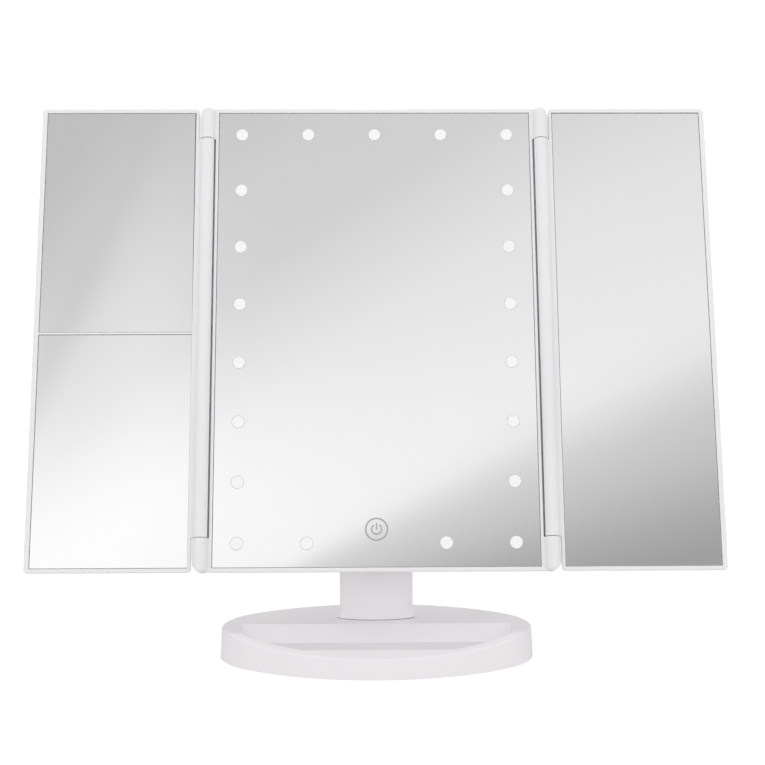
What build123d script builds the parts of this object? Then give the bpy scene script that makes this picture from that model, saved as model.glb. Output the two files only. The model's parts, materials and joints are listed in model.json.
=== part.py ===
from build123d import *
import os
from math import cos, radians, sin, tan

# Trifold vanity mirror with a ring of light windows, on a tray base.
# Units are millimetres. World frame: +Z up, origin on the floor at the centre of the base,
# the user looks from -Y. The head is drawn in its own frame and then leaned back:
# u to the right, v up the glass, w towards the user, zero at the middle of the bezel face.

# ---------------------------------------------------------------- head: driving sizes
center_glass_w = 160.8      # middle pane
glass_h = 236.0             # all three panes share one height
glass_t = 2.0
glass_gap = 0.2             # shadow gap round each pane
glass_recess = 0.4          # panes lie this far behind the bezel face
tape_t = 0.3
tape_inset = 0.8            # tape edge inside the edge of its pane
bezel_side = 1.4            # middle bezel beside the pane
bezel_end = 2.3             # every bezel above and below the pane
backing_t = 1.5             # wall behind each pane
frame_depth = 9.0           # middle front frame, face to parting line
wall = 1.8
housing_corner_r = 5.5
housing_draft = 1.3         # the housing is drawn in by this much from face to back
edge_r = 0.7                # soft front edges of the bezels
notch_w = 41.2              # finger notch in the top edge
notch_depth = 0.6
notch_slope = 2.0
notch_back = 6.0

# ---------------------------------------------------------------- wings and hinges
fold_gap = 1.4              # between the two wings when both are folded shut
wing_bezel_in = 1.9
wing_bezel_out = 2.6
wing_frame_depth = 5.6
wing_back_depth = 2.4
wing_back_t = 1.4
wing_corner_r = 2.0
wing_back_r = 1.6
wing_draft = 0.9            # a wing is drawn in by this much from face to back
wing_pocket_r = 0.5         # inside corners
lip_t = 1.0                 # locating lip of the wing back
lip_side_clear = 0.2
lip_top_clear = 0.4
divider_w = 1.0             # bar between the two panes of the left wing
barrel_r = 3.5
barrel_end_r = 0.3
groove_gap = 0.9            # dark gap between barrel and housing
hinge_forward = 0.3         # hinge axis in front of the bezel face, half the closing gap
wing_root_gap = 0.6         # wing edge beyond the barrel
housing_gap = 0.3           # wing edge to housing side
web_t = 1.9                 # web from barrel to wing
web_clear = 0.3
knuckle_h = 16.9
knuckle_gap = 0.3
knuckle_round = 2.4
hinge_pin_r = 1.0
hinge_pin_grip = 12.0       # length in the knuckle, and again in the barrel
pin_end_clear = 0.2

# ---------------------------------------------------------------- shared small clearances
running_fit = 0.05
press_clear = 0.02
thread_clear = 0.05
hole_clear = 0.35
head_clear = 0.2
pilot_tip = 0.2             # pilot hole beyond the screw's tip
cross_share = 0.22          # width of a cross recess against its length
cross_reach = 1.2           # length of a cross recess against the head's radius
over = 1.0                  # cutters pass a face, and joined bodies enter each other, by this much
near = 0.01                 # places closer than this are the same

# ---------------------------------------------------------------- lights and touch key
led_cols = 5
led_rows = 8
led_inset = 11.8            # outer lights inside the edge of the pane
window_r = 3.1
window_fit = 0.03
window_tape_clear = 0.7
light_hole_r = 2.6
led_board_w = 10.0
led_board_t = 1.0
led_board_r = 2.0
led_board_gap = 1.2         # backing wall to board
led_l = 3.5
led_w = 2.8
led_t = 0.9
post_r = 2.4
pcb_screw_r = 0.75
pcb_screw_head_r = 1.8
pcb_screw_head_t = 1.2
pcb_screw_grip = 2.4        # thread length behind the control board
touch_inset = 18.5          # touch key above the lower edge of the pane
touch_ring_r = 5.75
touch_line = 0.85
touch_symbol_r = 2.8
touch_symbol_line = 0.7
touch_bar_l = 3.0
touch_gap_deg = 76
print_t = 0.08
touch_pad_r = 5.0
touch_pad_clear = 0.6
touch_tab_w = 16.0
touch_tab_h = 12.0

# ---------------------------------------------------------------- battery bay (four AAA cells)
cell_r = 5.25
cell_l = 43.7
cell_nub_r = 1.9
cell_nub_l = 0.8
cell_round = 0.5
cell_count = 4
cell_spacing = 0.7
bay_v = -20.0               # middle of the bay
bay_wall = 1.4
bay_floor_t = 1.0
bay_clear = 0.3
cell_clear = 0.1
hump_margin = 3.4
hump_round = 3.0
contact_t = 0.4
contact_w = 8.0
contact_bump = 2.0
contact_room = 4.7          # both ends together, for the sprung bumps
door_t = 1.6
door_round = 0.8
door_travel = 8.0
door_rib_t = 1.2
door_rib_h = 2.0
door_rib_inset = 0.4
tongue_reach = 0.9
tongue_t = 0.8
tongue_l = 7.4
tongue_clear = 0.15
tongue_spots = (18.0, -10.0)
grip_count = 5
grip_w = 22.0
grip_t = 0.9
grip_h = 0.5
grip_round = 0.44
grip_pitch = 2.4
grip_start = 8.0            # first grip line above the lower edge of the door

# ---------------------------------------------------------------- control board, switch, charging inlet
board_w = 52.0
board_h = 24.0
board_t = 1.0
board_r = 1.0
board_side = 16.0           # board to the side of the housing
board_below = 3.7           # board to the lower edge of the housing
board_room = 0.8            # light board screws to control board
board_post_u = 21.5
board_post_v = 8.0
chip_w = 6.0
chip_t = 1.2
chip_shift_u = 6.0
chip_shift_v = 5.0
switch_shift_u = -8.0       # from the middle of the board
switch_shift_v = 4.5
switch_wall = 1.6           # switch body round its slot, along the travel
switch_rail = 0.9           # switch body above and below its slot
switch_t = 2.6
switch_slot_clear = 0.4
switch_slot_depth = 1.6
switch_play = 0.2           # switch body to rear shell
switch_window_r = 0.8
knob_l = 4.0
knob_h = 3.4
knob_out = 1.0
knob_travel = 3.0
knob_clear = 0.3
knob_round = 0.6
knob_groove_pitch = 1.1
knob_groove_w = 0.4
knob_groove_t = 0.3
stem = 1.6
stem_clear = 0.2
inlet_shift_u = 10.0
inlet_w = 7.6
inlet_h = 2.6
inlet_l = 5.6
inlet_wall = 0.4
inlet_back = 0.8
inlet_tongue_t = 0.6
inlet_tongue_clear = 1.2
inlet_inset = 0.3
inlet_clear = 0.15

# ---------------------------------------------------------------- shell screws
shell_screw_side = 12.0     # from the side of the housing
shell_screw_end = 28.5      # from its upper and lower edges
shell_boss_r = 3.6
shell_screw_r = 1.0
shell_screw_head_r = 2.5
shell_screw_head_t = 1.6
shell_screw_grip = 3.0      # thread length in the front frame
shell_head_sink = 2.0
shell_round = 3.0

# ---------------------------------------------------------------- tilt pivot
lean = 15.2                 # degrees, head leaned back at rest
pivot_y = 15.5
pivot_z = 62.9
pivot_up = 26.2             # pivot above the lower edge of the head
pivot_back = 25.0           # pivot behind the bezel face
ear_t = 7.0
ear_r = 8.0
ear_root = 24.0
washer_t = 0.5
washer_r = 6.5
washer_clear = 0.05
washer_bore_clear = 0.1
bolt_r = 2.5
bolt_head_r = 4.5           # bolt head, and the nut across its corners
bolt_head_t = 3.0           # bolt head, and the nut
bolt_slot_w = 1.2
bolt_slot_depth = 1.0
ear_bore_clear = 0.3
cap_t = 1.0
cap_gap = 0.4               # cap to bolt head

# ---------------------------------------------------------------- base and neck
base_half_w = 77.7
base_half_d = 56.0
base_side_less = 13.0       # side arcs have this much less radius than the half depth
base_draft = 0.9
base_h = 15.2
rim_lift = 0.5              # shell rim above the floor
base_wall = 2.5
base_rim_r = 1.0
front_slope = 8.3           # degrees, the top in front of the crease
crease_in = 35.5            # crease from the front of the base
tray_back_in = 10.1         # tray outline from the side of the base, back to front
tray_side_in = 12.1
tray_curve_in = 24.1
tray_front_in = 42.8
tray_curve_up = 24.0        # tray outline from the front of the base
tray_front_up = 13.1
tray_neck_gap = 9.7         # back of the tray to the neck
tray_floor_lead = 3.5       # flat floor starts this far behind the crease
tray_floor_t = 2.0
ballast_room = 1.7
cover_t = 1.6
cover_clear = 0.2
pad_side_in = 15.7
pad_end_in = 14.0
pad_t = 1.0
pad_fit = 0.1
base_boss_r = 3.2
base_screw_out = 4.5        # base screws outside the pad
base_screw_deg = 38
base_screw_r = 1.05
base_screw_head_r = 2.6
base_screw_head_t = 1.0
base_head_sink = 1.2
base_screw_grip = 4.1
ballast_side_in = 4.0       # ballast inside the outline of the pad
ballast_end_in = 6.0
ballast_t = 4.0
ballast_peg_x = 32.0
ballast_peg_r = 2.5
ballast_peg_clear = 0.3
neck_half_w = 18.55
neck_half_d = 7.5
neck_foot_y = 19.5
foot_flare = 1.35
foot_flare_h = 6.0
foot_steps = 4
foot_seam = 0.4
neck_wall = 2.5
neck_top_solid = 12.0
neck_boss_r = 2.9
neck_screw_x = 9.0
neck_screw_r = 1.15
neck_screw_head_r = 3.0
neck_screw_head_t = 2.0
neck_screw_grip = 10.0

# ---------------------------------------------------------------- worked-out sizes, head
frame_h = glass_h + 2 * (glass_gap + bezel_end)
pane_half = center_glass_w / 2 + glass_gap          # half width of the middle opening
groove_r = barrel_r + groove_gap
hinge_u = pane_half + bezel_side + groove_r
core_half = hinge_u - groove_r - wall               # inside of the frame between the hinge grooves
wing_in_u = hinge_u + barrel_r + wing_root_gap
wing_out_u = 2 * hinge_u - fold_gap / 2
housing_half = wing_in_u - housing_gap
wing_glass_in = wing_in_u + wing_bezel_in
wing_glass_out = wing_out_u - wing_bezel_out
wing_glass_w = wing_glass_out - wing_glass_in - 2 * glass_gap
wing_w = wing_out_u - wing_in_u
wing_depth = wing_frame_depth + wing_back_depth
wing_mid_u = (wing_out_u + wing_in_u) / 2
wing_glass_u = (wing_glass_out + wing_glass_in) / 2
glass_front = -glass_recess
glass_back = glass_front - glass_t
backing_front = glass_back - tape_t
backing_back = backing_front - backing_t
seam_v = frame_h / 2 - knuckle_h
barrel_l = 2 * (seam_v - knuckle_gap)
led_pitch_u = (center_glass_w - 2 * led_inset) / (led_cols - 1)
led_pitch_v = (glass_h - 2 * led_inset) / (led_rows - 1)
led_side = (led_cols - 1) / 2 * led_pitch_u
led_end = (led_rows - 1) / 2 * led_pitch_v
tape_w = led_inset - window_r - window_tape_clear - tape_inset
touch_v = touch_inset - glass_h / 2
led_board_front = backing_back - led_board_gap
led_board_back = led_board_front - led_board_t
board_front = led_board_back - pcb_screw_head_t - board_room
board_back = board_front - board_t
board_u = housing_half - board_side - board_w / 2
board_v = board_below + board_h / 2 - frame_h / 2
switch_u = board_u + switch_shift_u
switch_v = board_v + switch_shift_v
switch_slot_l = stem + knob_travel + 2 * switch_slot_clear
switch_slot_h = stem + switch_slot_clear
inlet_u = board_u + inlet_shift_u
inlet_w_pos = board_back - inlet_h / 2
shell_inner = board_back - switch_t - switch_play
head_depth = wall - shell_inner
shell_depth = head_depth - frame_depth
shell_screw_u = housing_half - shell_screw_side
shell_screw_v = frame_h / 2 - shell_screw_end
cell_pitch = 2 * cell_r + cell_spacing
bay_l = cell_l + cell_nub_l + 2 * contact_t + contact_room
bay_half = cell_count * cell_pitch / 2 + bay_clear
bay_floor_front = backing_back - bay_clear
bay_floor = bay_floor_front - bay_floor_t
cell_w = bay_floor - cell_clear - cell_r
hump_face = cell_w - cell_r - bay_clear
hump_half = bay_half + hump_margin
hump_l = bay_l + 2 * hump_margin
pivot_v = pivot_up - frame_h / 2
ear_in = neck_half_w + washer_t + washer_clear      # inner and outer faces of the right ear
ear_out = ear_in + ear_t
ear_bore_depth = bolt_head_t + cap_t + cap_gap

# ---------------------------------------------------------------- worked-out sizes, stand
cover_top = rim_lift + cover_t
tray_floor_z = cover_top + ballast_t + ballast_room + tray_floor_t
tray_under_z = tray_floor_z - tray_floor_t
crease_y = crease_in - base_half_d
tray_back_y = neck_foot_y - neck_half_d - tray_neck_gap
tray_floor_y = crease_y + tray_floor_lead
base_side_r = base_half_d - base_side_less
pad_half_w = base_half_w - pad_side_in
pad_half_d = base_half_d - pad_end_in
neck_foot_z = base_h
neck_rise = pivot_z - neck_foot_z
HEAD = Pos(0, pivot_y, pivot_z) * Rot(90 - lean, 0, 0) * Pos(0, -pivot_v, pivot_back)


# ---------------------------------------------------------------- small helpers
def slab(width, height, front, back, radius=0.0, u=0.0, v=0.0):
    """Plate lying across the w axis, from its front depth to its back depth."""
    outline = RectangleRounded(width, height, radius) if radius else Rectangle(width, height)
    return Pos(u, v, back) * extrude(outline, amount=front - back)


def disc(radius, front, back, u=0.0, v=0.0):
    return Pos(u, v, (front + back) / 2) * Cylinder(radius, front - back)


def rod_v(radius, length, u, v, w):
    return Pos(u, v, w) * Rot(90, 0, 0) * Cylinder(radius, length)


def rod_x(radius, length, x, y, z):
    return Pos(x, y, z) * Rot(0, 90, 0) * Cylinder(radius, length)


def flip(shape):
    """The same piece on the other side of the middle plane."""
    return mirror(shape, about=Plane.YZ)


def both_sides(shape):
    return shape + flip(shape)


def group(shapes):
    """Separate solids kept together in one node."""
    solids = []
    for shape in shapes:
        solids.extend(shape.solids())
    return Compound(children=solids)


def led_spots():
    """Centres of the lights: round the edge of the grid, with the touch key in the bottom middle."""
    spots = []
    for row in range(led_rows):
        for col in range(led_cols):
            edge = row in (0, led_rows - 1) or col in (0, led_cols - 1)
            key = row == 0 and col == led_cols // 2
            if edge and not key:
                spots.append((col * led_pitch_u - led_side, row * led_pitch_v - led_end))
    return spots


def led_post_spots():
    """Posts that carry the light board, midway between lights."""
    beside = led_side - led_pitch_u / 2
    spots = [(i * beside, j * led_end) for i in (-1, 1) for j in (-1, 1)]
    for gap in range(1, led_rows - 1, 2):
        v = (gap + 0.5) * led_pitch_v - led_end
        spots += [(led_side, v), (-led_side, v)]
    return spots


def screw(x, y, seat, way, head_r, head_t, shank_r, length):
    """Cross-head screw. Its shank runs from the seat in direction way, its head the other way."""
    tip = seat + way * length
    top = seat - way * head_t
    body = disc(shank_r, max(seat, tip), min(seat, tip), x, y)
    body += disc(head_r, max(seat, top), min(seat, top), x, y)
    arm = cross_reach * head_r
    cross = Box(arm, cross_share * arm, head_t) + Box(cross_share * arm, arm, head_t)
    return body - Pos(x, y, top) * cross


def shell_screw_spots():
    return [(side * shell_screw_u, row * shell_screw_v) for side in (-1, 1) for row in (-1, 0, 1)]


def board_post_spots():
    return [(board_u + i * board_post_u, board_v + j * board_post_v) for i in (-1, 1) for j in (-1, 1)]


def soften(shape, edges, radius):
    return fillet(edges, radius) if len(edges) else shape


def edges_at(shape, depth):
    """Edges that lie wholly at one depth w."""
    return [e for e in shape.edges()
            if abs(e.bounding_box().min.Z - depth) < near and abs(e.bounding_box().max.Z - depth) < near]


# ---------------------------------------------------------------- middle section
def draft_at(w):
    return -w * housing_draft / head_depth


def housing(inset, front, back):
    """Stretch of the housing's drafted body, drawn in by an even inset."""
    def section(w):
        pull = inset + draft_at(w)
        return Pos(0, 0, w) * RectangleRounded(2 * (housing_half - pull), frame_h - 2 * pull,
                                               housing_corner_r - inset)
    return loft([section(back), section(front)])


def finger_notch():
    """Shallow scoop with sloping ends in the top edge, behind the bezel face."""
    top = frame_h / 2
    half = notch_w / 2
    profile = Polyline((-half, top), (-half + notch_slope, top - notch_depth),
                       (half - notch_slope, top - notch_depth), (half, top),
                       (half, top + over), (-half, top + over), close=True)
    return Pos(0, 0, -notch_back) * extrude(make_face(profile), amount=notch_back + over)


def knuckle():
    """Upper right knuckle: a half round that stands proud of the bezel, with a domed end."""
    mid = (seam_v + frame_h / 2) / 2
    body = rod_v(barrel_r, knuckle_h, hinge_u, mid, hinge_forward)
    body += Pos(hinge_u, mid, -(barrel_r - hinge_forward) / 2) * Box(2 * barrel_r, knuckle_h,
                                                                    barrel_r + hinge_forward)
    end = [e for e in body.edges() if e.center().Y > frame_h / 2 - near and e.center().Z > hinge_forward]
    body = soften(body, end, knuckle_round)
    reach = housing_half - hinge_u
    body += Pos(hinge_u + reach / 2, mid, hinge_forward - edge_r / 2) * Box(reach, knuckle_h, edge_r)
    return body & slab(2 * housing_half, frame_h, 2 * barrel_r, -frame_depth, housing_corner_r)


def pin_bore(radius):
    """Bore for the upper right hinge pin, through the lower part of the knuckle."""
    return rod_v(radius, 2 * hinge_pin_grip + knuckle_gap, hinge_u, seam_v - knuckle_gap / 2, hinge_forward)


def four_corners(shape):
    upper = both_sides(shape)
    return upper + mirror(upper, about=Plane.XZ)


def center_frame():
    body = housing(0, 0, -frame_depth)
    outer = [e for e in edges_at(body, 0) if abs(e.center().Y) > frame_h / 2 - near]
    body = soften(body, outer, edge_r)
    groove = rod_v(groove_r, 2 * seam_v, hinge_u, 0, hinge_forward)
    body -= both_sides(groove + web_space())
    body += four_corners(knuckle())
    body -= slab(2 * pane_half, glass_h + 2 * glass_gap, over, backing_front)
    body -= finger_notch()
    body -= slab(2 * core_half, frame_h - 2 * (wall + housing_draft), backing_back, -frame_depth)
    body -= housing(wall, hinge_forward - groove_r - wall, -frame_depth)
    for u, v in led_spots():
        body -= disc(light_hole_r, backing_front, backing_back, u, v)
    body -= disc(touch_pad_r + touch_pad_clear, backing_front, backing_back, 0, touch_v)
    for u, v in led_post_spots():
        body += disc(post_r, backing_back, led_board_front, u, v)
        body -= disc(pcb_screw_r + thread_clear, backing_back + pilot_tip, led_board_front, u, v)
    for u, v in shell_screw_spots():
        body += disc(shell_boss_r, backing_back, -frame_depth, u, v)
        body -= disc(shell_screw_r + thread_clear, -frame_depth + shell_screw_grip + pilot_tip,
                     -frame_depth, u, v)
    body -= four_corners(pin_bore(hinge_pin_r + press_clear))
    return body


def web_space():
    """Room beside the groove for the web that joins the barrel to the wing."""
    low = -web_t - web_clear
    return Pos(hinge_u + groove_r, 0, low / 2 + groove_r / 2) * Box(2 * groove_r, 2 * seam_v, groove_r - low)


def center_mirror():
    pane = slab(center_glass_w, glass_h, glass_front, glass_back)
    for u, v in led_spots():
        pane -= disc(window_r + window_fit, glass_front, glass_back, u, v)
    return pane


def tape_ring(width, height, u, v):
    """Double-sided tape round the edge of a pane."""
    edge = 2 * tape_inset
    ring = slab(width - edge, height - edge, glass_back, backing_front, 0, u, v)
    edge += 2 * tape_w
    return ring - slab(width - edge, height - edge, glass_back, backing_front, 0, u, v)


def center_tape():
    return tape_ring(center_glass_w, glass_h, 0, 0)


def led_windows():
    return group([disc(window_r, glass_front, backing_front, u, v) for u, v in led_spots()])


def touch_mark():
    """Printed ring with the usual on-off sign."""
    front = glass_front + print_t
    ring = disc(touch_ring_r, front, glass_front) - disc(touch_ring_r - touch_line, front, glass_front)
    arc = disc(touch_symbol_r, front, glass_front)
    arc -= disc(touch_symbol_r - touch_symbol_line, front, glass_front)
    reach = 2 * touch_symbol_r
    half = reach * tan(radians(touch_gap_deg / 2))
    wedge = make_face(Polyline((0, 0), (-half, reach), (half, reach), close=True))
    arc -= Pos(0, 0, glass_front) * extrude(wedge, amount=print_t)
    bar = Pos(0, touch_symbol_r - touch_bar_l / 2 + touch_symbol_line / 2, glass_front + print_t / 2)
    bar *= Box(touch_symbol_line, touch_bar_l, print_t)
    return group([Pos(0, touch_v, 0) * shape for shape in (ring, arc, bar)])


def touch_sensor():
    return disc(touch_pad_r, glass_back, led_board_front, 0, touch_v)


def led_board():
    def plate(width, height, radius, v=0):
        return slab(width, height, led_board_front, led_board_back, radius, 0, v)
    board = plate(2 * led_side + led_board_w, 2 * led_end + led_board_w, led_board_r)
    board -= plate(2 * led_side - led_board_w, 2 * led_end - led_board_w, led_board_r)
    board += plate(touch_tab_w, touch_tab_h, led_board_r, touch_v)
    for u, v in led_post_spots():
        board -= disc(pcb_screw_r + hole_clear, led_board_front, led_board_back, u, v)
    return board


def led_chips():
    front = led_board_front + led_t
    return group([slab(led_w, led_l, front, led_board_front, 0, u, v) for u, v in led_spots()])


def led_board_screws():
    length = led_board_t + led_board_gap
    return group([screw(u, v, led_board_back, 1, pcb_screw_head_r, pcb_screw_head_t, pcb_screw_r, length)
                  for u, v in led_post_spots()])


# ---------------------------------------------------------------- rear shell, battery bay, door
def ear():
    """Right ear of the tilt pivot, with a round end and a wide root on the shell."""
    root = Pos(pivot_v, over / 2 - head_depth) * Rectangle(ear_root, over)
    tip = Pos(pivot_v, -pivot_back) * Circle(ear_r)
    outline = make_hull(root.edges() + tip.edges())
    return Pos(ear_in, 0, 0) * (Plane.YZ * extrude(outline, amount=ear_t))


def pivot_rod(radius, start, end):
    return rod_x(radius, end - start, (start + end) / 2, pivot_v, -pivot_back)


def rear_shell():
    body = housing(0, -frame_depth, -head_depth)
    body = soften(body, edges_at(body, -head_depth), shell_round)
    body -= housing(wall, -frame_depth, shell_inner)
    body += slab(2 * hump_half, hump_l, over - head_depth, hump_face, hump_round, 0, bay_v)
    body += slab(2 * (bay_half + bay_wall), bay_l + 2 * bay_wall, bay_floor_front, hump_face, 0, 0, bay_v)
    body -= slab(2 * bay_half, bay_l, bay_floor, hump_face - over, 0, 0, bay_v)
    body -= tongue_slots()
    for u, v in shell_screw_spots():
        body += disc(shell_boss_r, -frame_depth, shell_inner - wall / 2, u, v)
        body -= disc(shell_screw_r + hole_clear, -frame_depth, -head_depth, u, v)
        body -= disc(shell_screw_head_r + head_clear, -head_depth + shell_head_sink, -head_depth, u, v)
    for u, v in board_post_spots():
        body += disc(post_r, board_back, shell_inner - wall / 2, u, v)
        body -= disc(pcb_screw_r + thread_clear, board_back, board_back - pcb_screw_grip - pilot_tip, u, v)
    body -= slab(knob_l + knob_travel + 2 * knob_clear, knob_h + 2 * knob_clear, shell_inner, -head_depth,
                 switch_window_r, switch_u, switch_v)
    body -= inlet_space()
    body += both_sides(ear())
    body -= pivot_rod(bolt_r + press_clear, -ear_out, ear_out)
    bore = bolt_head_r + ear_bore_clear
    return body - both_sides(pivot_rod(bore, ear_out - ear_bore_depth, ear_out))


def tongue_slots():
    """Undercut in the side walls of the bay, open where the tongues go in."""
    lip = hump_face + door_rib_h - tongue_t - tongue_clear
    deep = hump_face + door_rib_h + tongue_clear
    reach = bay_half - door_rib_inset + tongue_reach + tongue_clear
    slots = slab(2 * reach, bay_l, deep, lip, 0, 0, bay_v)
    for spot in tongue_spots:
        entry = slab(2 * reach, tongue_l + 2 * tongue_clear, deep, hump_face, 0, 0,
                     bay_v + spot - door_travel)
        slots += entry
    return slots


def battery_door():
    outer = hump_face - door_t
    plate = slab(2 * hump_half, hump_l, hump_face, outer, hump_round, 0, bay_v)
    plate = soften(plate, edges_at(plate, outer), door_round)
    edge = bay_half - door_rib_inset
    top = hump_face + door_rib_h
    for spot in tongue_spots:
        v = bay_v + spot
        rib = slab(door_rib_t, tongue_l, top, hump_face, 0, edge - door_rib_t / 2, v)
        tongue = slab(tongue_reach, tongue_l, top, top - tongue_t, 0, edge + tongue_reach / 2, v)
        plate += both_sides(rib + tongue)
    for i in range(grip_count):
        v = bay_v - hump_l / 2 + grip_start + i * grip_pitch
        plate += slab(grip_w, grip_t, outer, outer - grip_h, grip_round, 0, v)
    return plate


def cell_columns():
    return [(i - (cell_count - 1) / 2) * cell_pitch for i in range(cell_count)]


def cell_sides():
    """Which way each cell points: up, down, up, down."""
    return [1 if i % 2 == 0 else -1 for i in range(cell_count)]


def battery_cells():
    cells = []
    for u, way in zip(cell_columns(), cell_sides()):
        can = rod_v(cell_r, cell_l, u, bay_v, cell_w)
        can = soften(can, can.edges(), cell_round)
        nub = rod_v(cell_nub_r, cell_nub_l, u, bay_v + way * (cell_l + cell_nub_l) / 2, cell_w)
        cells.append(can + nub)
    return group(cells)


def battery_contacts():
    """Plates at both ends of the bay with a raised bump that presses on each cell."""
    plates = []
    for u, way in zip(cell_columns(), cell_sides()):
        for end in (1, -1):
            face = bay_v + end * (bay_l / 2 - contact_t / 2)
            plate = Pos(u, face, cell_w) * Box(contact_w, contact_t, contact_w)
            touch = cell_l / 2 + (cell_nub_l if way == end else 0)
            gap = bay_l / 2 - contact_t - touch
            mid = bay_v + end * (touch + gap / 2)
            plates.append(plate + rod_v(contact_bump, gap, u, mid, cell_w))
    return group(plates)


def control_board():
    board = slab(board_w, board_h, board_front, board_back, board_r, board_u, board_v)
    for u, v in board_post_spots():
        board -= disc(pcb_screw_r + hole_clear, board_front, board_back, u, v)
    return board


def control_chip():
    return slab(chip_w, chip_w, board_back, board_back - chip_t, 0, board_u + chip_shift_u,
                board_v + chip_shift_v)


def control_board_screws():
    length = board_t + pcb_screw_grip
    return group([screw(u, v, board_front, -1, pcb_screw_head_r, pcb_screw_head_t, pcb_screw_r, length)
                  for u, v in board_post_spots()])


def switch_body():
    face = board_back - switch_t
    body = slab(switch_slot_l + 2 * switch_wall, switch_slot_h + 2 * switch_rail, board_back, face, 0,
                switch_u, switch_v)
    return body - slab(switch_slot_l, switch_slot_h, face + switch_slot_depth, face, 0, switch_u, switch_v)


def power_switch_knob():
    """Slider cap in the rear window, at the off end of its travel."""
    u = switch_u - knob_travel / 2
    foot = board_back - switch_t + switch_slot_depth - stem_clear
    cap_front = shell_inner - knob_clear
    face = -head_depth - knob_out
    body = slab(stem, stem, foot, cap_front, 0, u, switch_v)
    cap = slab(knob_l, knob_h, cap_front, face, knob_round, u, switch_v)
    for i in (-1, 0, 1):
        cap -= slab(knob_groove_w, knob_h, face + knob_groove_t, face, 0, u + i * knob_groove_pitch, switch_v)
    return body + cap


def inlet_mouth():
    """Height of the inlet's open end, just inside the drafted lower edge of the housing."""
    return draft_at(inlet_w_pos) + inlet_inset - frame_h / 2


def inlet_space():
    length = inlet_l + 2 * over
    mid = inlet_mouth() + inlet_l - length / 2
    return Pos(inlet_u, mid, inlet_w_pos) * Box(inlet_w + 2 * inlet_clear, length, inlet_h + 2 * inlet_clear)


def charging_inlet():
    """Small power socket on the board, its mouth in the lower edge of the housing."""
    mid = inlet_mouth() + inlet_l / 2
    body = Pos(inlet_u, mid, inlet_w_pos) * Box(inlet_w, inlet_l, inlet_h)
    hole = Box(inlet_w - 2 * inlet_wall, inlet_l - inlet_back, inlet_h - 2 * inlet_wall)
    body -= Pos(inlet_u, mid - inlet_back / 2, inlet_w_pos) * hole
    tongue_l = inlet_l - inlet_back
    tongue = Box(inlet_w - 2 * inlet_tongue_clear, tongue_l, inlet_tongue_t)
    return body + Pos(inlet_u, mid + inlet_back / 2, inlet_w_pos) * tongue


def rear_shell_screws():
    seat = -head_depth + shell_head_sink
    length = shell_depth - shell_head_sink + shell_screw_grip
    return group([screw(u, v, seat, 1, shell_screw_head_r, shell_screw_head_t, shell_screw_r, length)
                  for u, v in shell_screw_spots()])


# ---------------------------------------------------------------- hinge pins and tilt bolt
def hinge_pins():
    length = 2 * (hinge_pin_grip - pin_end_clear) + knuckle_gap
    pin = rod_v(hinge_pin_r, length, hinge_u, seam_v - knuckle_gap / 2, hinge_forward)
    return group([four_corners(pin)])


def tilt_bolt():
    seat = ear_out - ear_bore_depth
    bolt = pivot_rod(bolt_r, -seat - bolt_head_t, seat)
    head = pivot_rod(bolt_head_r, seat, seat + bolt_head_t)
    slot = Box(2 * bolt_slot_depth, bolt_slot_w, 2 * bolt_head_r)
    return bolt + head - Pos(seat + bolt_head_t, pivot_v, -pivot_back) * slot


def tilt_nut():
    seat = ear_bore_depth - ear_out
    hexagon = extrude(RegularPolygon(bolt_head_r, 6), amount=bolt_head_t)
    ring = Pos(seat, pivot_v, -pivot_back) * Rot(0, -90, 0) * hexagon
    return ring - pivot_rod(bolt_r + press_clear, seat - bolt_head_t, seat)


def pivot_washers():
    washer = pivot_rod(washer_r, ear_in - washer_t, ear_in)
    washer -= pivot_rod(bolt_r + washer_bore_clear, ear_in - washer_t, ear_in)
    return group([both_sides(washer)])


def ear_caps():
    cap = pivot_rod(bolt_head_r + ear_bore_clear - running_fit, ear_out - cap_t, ear_out)
    return group([both_sides(cap)])


# ---------------------------------------------------------------- wings (drawn on the right)
def wing_panes(split):
    """Centre heights and heights of the panes."""
    if not split:
        return [(0.0, glass_h)]
    height = (glass_h - divider_w) / 2 - glass_gap
    middle = (divider_w + height) / 2 + glass_gap
    return [(middle, height), (-middle, height)]


def wing_body(front, back):
    """Stretch of a wing's drafted outside."""
    def section(w):
        pull = -w * wing_draft / wing_depth
        outline = RectangleRounded(wing_w - 2 * pull, frame_h - 2 * pull, wing_corner_r)
        return Pos(wing_mid_u, 0, w) * outline
    return loft([section(back), section(front)])


def wing_frame(split):
    body = wing_body(0, -wing_frame_depth)
    body = soften(body, edges_at(body, 0), edge_r)
    for v, height in wing_panes(split):
        body -= slab(wing_glass_w + 2 * glass_gap, height + 2 * glass_gap, over, backing_front, 0,
                     wing_glass_u, v)
    body -= wing_inside(backing_back, -wing_frame_depth, 0)
    barrel = rod_v(barrel_r, barrel_l, hinge_u, 0, hinge_forward)
    barrel = soften(barrel, barrel.edges().filter_by(GeomType.CIRCLE), barrel_end_r)
    web_w = wing_in_u + over - hinge_u
    web = Pos(hinge_u + web_w / 2, 0, -web_t / 2) * Box(web_w, barrel_l, web_t)
    body += barrel + web
    bore = pin_bore(hinge_pin_r + running_fit)
    return body - (bore + mirror(bore, about=Plane.XZ))


def wing_inside(front, back, inset):
    """Block that fills the inside of a wing, less an even inset."""
    edge = 2 * (wall + wing_draft + inset)
    return slab(wing_w - edge, frame_h - edge, front, back, wing_pocket_r, wing_mid_u)


def wing_back():
    front = -wing_frame_depth
    back = -wing_depth
    body = wing_body(front, back)
    body = soften(body, edges_at(body, back), wing_back_r)
    body -= wing_inside(front, back + wing_back_t, 0)
    top = backing_back - lip_top_clear
    lip = wing_inside(top, back + wing_back_t, lip_side_clear)
    return body + lip - wing_inside(top, back + wing_back_t, lip_side_clear + lip_t)


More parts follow.
